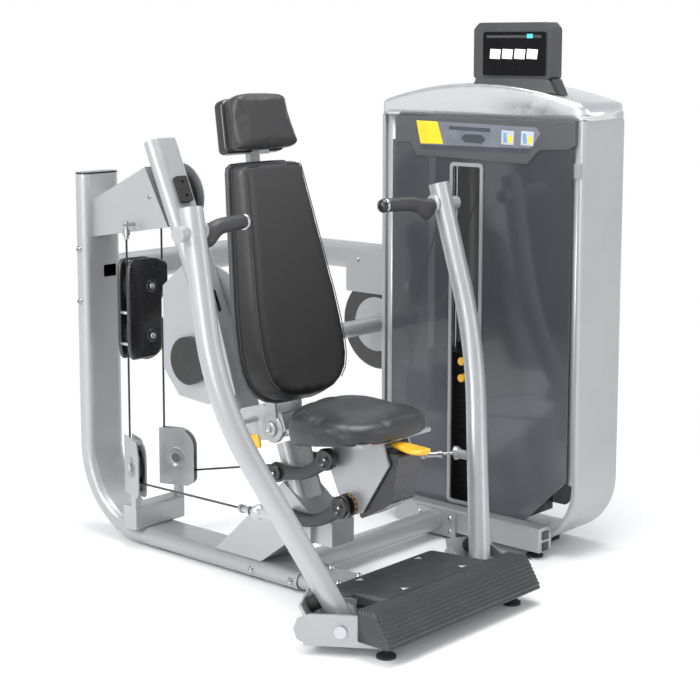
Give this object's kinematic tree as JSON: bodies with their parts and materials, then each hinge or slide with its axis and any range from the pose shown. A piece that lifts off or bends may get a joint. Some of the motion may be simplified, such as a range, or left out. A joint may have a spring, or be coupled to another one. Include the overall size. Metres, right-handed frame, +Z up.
{
  "type": "chest press machine",
  "caption": "Converging chest press with a reclined back pad, adjustable seat, two press arms and a shrouded weight stack driven by cables, pulleys and a torque shaft",
  "frame": {"origin": "underside of the middle rubber pad of the base rail, on the floor, in the centre plane of the seat", "axes": "+Z up, the user faces -Y, the weight tower stands on the +X side"},
  "size_m": [1.5673, 1.582, 1.68],
  "materials": {
    "silver_frame": "metallic silver powder coat, satin",
    "black_paint": "gloss black",
    "graphite": "metallic graphite moulding, semi-gloss",
    "plate_steel": "zinc-bright plate",
    "bolt_chrome": "polished",
    "rod_chrome": "ground and chromed",
    "black_rubber": "matt, slightly ribbed",
    "grip_rubber": "moulded, fine texture",
    "black_plastic": "moulded, fine grain",
    "console_plastic": "moulded dark grey",
    "smoked_panel": "smoked translucent acrylic",
    "header_grey": "satin grey",
    "stack_iron": "black enamelled",
    "pulley_nylon": "glass-filled nylon",
    "cable_black": "nylon-coated steel cable",
    "yellow_lever": "moulded yellow",
    "upholstery": "dark charcoal vinyl leather"
  },
  "bodies": {
    "frame": {"base_rail": "silver_frame", "end_caps": "black_plastic", "front_crossbar": "silver_frame", "pivot_brackets": "plate_steel", "rubber_bumpers": "black_rubber", "footplate_cover": "black_plastic", "cross_tube": "silver_frame", "tower_base_bar": "silver_frame", "levelling_feet": "black_rubber", "upper_beam": "silver_frame", "pulley_box": "silver_frame", "back_tube": "silver_frame", "bearing_plates": "silver_frame", "pulley_guards": "plate_steel", "pulley_pedestal": "silver_frame", "seat_frame": "silver_frame", "seat_casting": "silver_frame", "fasteners": "bolt_chrome", "tower_band": "silver_frame", "tower_cap": "graphite", "console_housing": "console_plastic", "header_panel": "header_grey", "shroud_panels": "smoked_panel", "tower_trims": "plate_steel", "guide_rods": "rod_chrome", "tower_crosshead": "black_paint", "weight_plates": "stack_iron", "stack_cable": "cable_black", "drive_cable": "cable_black", "riser_cable": "cable_black"},
    "left_press_arm": {"left_arm": "silver_frame", "left_grip": "grip_rubber"},
    "right_press_arm": {"right_arm": "silver_frame", "right_grip": "grip_rubber"},
    "left_cable_run": {"left_press_cable": "cable_black"},
    "right_cable_run": {"right_press_cable": "cable_black"},
    "left_tensioner": {"left_turnbuckle": "bolt_chrome"},
    "right_tensioner": {"right_turnbuckle": "bolt_chrome"},
    "floating_block": {"block_housing": "black_paint"},
    "upper_block_pulley": {"block_upper_pulley": "pulley_nylon"},
    "lower_block_pulley": {"block_lower_pulley": "pulley_nylon"},
    "left_guide": {"left_guide_pulley": "pulley_nylon"},
    "right_guide": {"right_guide_pulley": "pulley_nylon"},
    "top_guide": {"top_pulley": "pulley_nylon"},
    "shaft": {"torque_shaft": "silver_frame", "cam_disc": "black_paint"},
    "lifted_weights": {"lifted_plates": "stack_iron"},
    "selectors": {"selector_pins": "yellow_lever"},
    "stack_guide": {"stack_pulley": "pulley_nylon"},
    "seat_lower_link": {"lower_link": "black_paint"},
    "seat_upper_link": {"upper_link": "black_paint"},
    "seat": {"seat_carriage": "plate_steel", "seat_housing": "black_plastic", "seat_cushion": "upholstery"},
    "seat_release": {"seat_lever": "yellow_lever"},
    "back_pad": {"back_shell": "black_plastic", "back_cushion": "upholstery", "headrest": "upholstery", "back_bracket": "plate_steel"},
    "back_release": {"back_lever": "yellow_lever"}
  },
  "joints": [
    {"name": "left_press", "type": "hinge", "parent": "frame", "child": "left_press_arm", "pos_m": [-0.303, -0.583, 0.07], "axis": [0.832, 0.5548, 0], "range_deg": [0, 24]},
    {"name": "right_press", "type": "hinge", "parent": "frame", "child": "right_press_arm", "pos_m": [0.303, -0.583, 0.07], "axis": [0.832, -0.5548, 0], "range_deg": [0, 24]},
    {"name": "left_run_swing", "type": "hinge", "parent": "frame", "child": "left_cable_run", "pos_m": [-0.09251, 0.49635, 0.22], "axis": [-0.3733, 0.2897, 0.8813], "range_deg": [0, 7.28]},
    {"name": "right_run_swing", "type": "hinge", "parent": "frame", "child": "right_cable_run", "pos_m": [0.09251, 0.49635, 0.22], "axis": [-0.3733, -0.2897, -0.8813], "range_deg": [0, 7.28]},
    {"name": "left_run_pay", "type": "slide", "parent": "left_cable_run", "child": "left_tensioner", "axis": [-0.356, -0.922, 0.1522], "range_m": [0, 0.101]},
    {"name": "right_run_pay", "type": "slide", "parent": "right_cable_run", "child": "right_tensioner", "axis": [0.356, -0.922, 0.1522], "range_m": [0, 0.101]},
    {"name": "block_travel", "type": "slide", "parent": "frame", "child": "floating_block", "axis": [0, 0, -1], "range_m": [0, 0.101], "deforming": ["riser_cable", "drive_cable"]},
    {"name": "upper_block_spin", "type": "hinge", "parent": "floating_block", "child": "upper_block_pulley", "pos_m": [0, 0.543, 0.846], "axis": [0, 1, 0], "range_deg": [-5, 81.14]},
    {"name": "lower_block_spin", "type": "hinge", "parent": "floating_block", "child": "lower_block_pulley", "pos_m": [0, 0.543, 0.684], "axis": [0, 1, 0], "continuous": true},
    {"name": "left_guide_spin", "type": "hinge", "parent": "frame", "child": "left_guide", "pos_m": [-0.09251, 0.49635, 0.27], "axis": [0.9329, -0.3602, 0], "range_deg": [-5, 118.45]},
    {"name": "right_guide_spin", "type": "hinge", "parent": "frame", "child": "right_guide", "pos_m": [0.09251, 0.49635, 0.27], "axis": [0.9329, 0.3602, 0], "range_deg": [-5, 118.45]},
    {"name": "top_pulley_spin", "type": "hinge", "parent": "frame", "child": "top_guide", "pos_m": [0.0745, 0.468, 1.13], "axis": [-1, 0, 0], "range_deg": [-5, 156.26]},
    {"name": "shaft_turn", "type": "hinge", "parent": "frame", "child": "shaft", "pos_m": [0.0745, 0.27, 0.642], "axis": [1, 0, 0], "range_deg": [-5, 150.44]},
    {"name": "stack_lift", "type": "slide", "parent": "frame", "child": "lifted_weights", "axis": [0, 0, 1], "range_m": [0, 0.302], "deforming": ["stack_cable"]},
    {"name": "selector_pull", "type": "slide", "parent": "lifted_weights", "child": "selectors", "axis": [-1, 0, 0], "range_m": [0, 0.115]},
    {"name": "stack_pulley_spin", "type": "hinge", "parent": "frame", "child": "stack_guide", "pos_m": [0.857, -0.146, 1.31], "axis": [-1, 0, 0], "range_deg": [-5, 291.48]},
    {"name": "seat_link_turn", "type": "hinge", "parent": "frame", "child": "seat_lower_link", "pos_m": [0, -0.18, 0.231], "axis": [1, 0, 0], "range_deg": [0, 35]},
    {"name": "seat_upper_turn", "type": "hinge", "parent": "frame", "child": "seat_upper_link", "pos_m": [0, -0.126, 0.362], "axis": [1, 0, 0], "range_deg": [0, 36]},
    {"name": "seat_level", "type": "hinge", "parent": "seat_lower_link", "child": "seat", "pos_m": [0, -0.384, 0.306], "axis": [1, 0, 0], "range_deg": [-36, 0]},
    {"name": "seat_lever_pull", "type": "hinge", "parent": "seat", "child": "seat_release", "pos_m": [0, -0.505, 0.496], "axis": [-1, 0, 0], "range_deg": [0, 8], "stiffness_Nm_per_rad": 4, "springref_deg": -17.19},
    {"name": "back_recline", "type": "hinge", "parent": "frame", "child": "back_pad", "pos_m": [0, -0.075, 0.479], "axis": [-1, 0, 0], "range_deg": [0, 14]},
    {"name": "back_lever_pull", "type": "hinge", "parent": "frame", "child": "back_release", "pos_m": [0, -0.005, 0.498], "axis": [-1, 0, 0], "range_deg": [0, 18], "stiffness_Nm_per_rad": 4, "springref_deg": -17.19}
  ],
  "couplings": [
    {"joint": "right_press", "follows": "left_press", "ratio": 1},
    {"joint": "left_run_swing", "follows": "left_press", "ratio": 0.29066},
    {"joint": "right_run_swing", "follows": "left_press", "ratio": 0.29066},
    {"joint": "left_run_pay", "follows": "left_press", "m_per_rad": 0.23635},
    {"joint": "right_run_pay", "follows": "left_press", "m_per_rad": 0.23635},
    {"joint": "block_travel", "follows": "left_press", "m_per_rad": 0.23635},
    {"joint": "upper_block_spin", "follows": "left_press", "ratio": 3.1724},
    {"joint": "left_guide_spin", "follows": "left_press", "ratio": 4.7269},
    {"joint": "right_guide_spin", "follows": "left_press", "ratio": 4.7269},
    {"joint": "top_pulley_spin", "follows": "left_press", "ratio": 6.3025},
    {"joint": "shaft_turn", "follows": "left_press", "ratio": 6.0601},
    {"joint": "stack_lift", "follows": "left_press", "m_per_rad": 0.7162},
    {"joint": "stack_pulley_spin", "follows": "left_press", "ratio": 11.937},
    {"joint": "seat_upper_turn", "follows": "seat_link_turn", "ratio": 1},
    {"joint": "seat_level", "follows": "seat_link_turn", "ratio": -1}
  ]
}
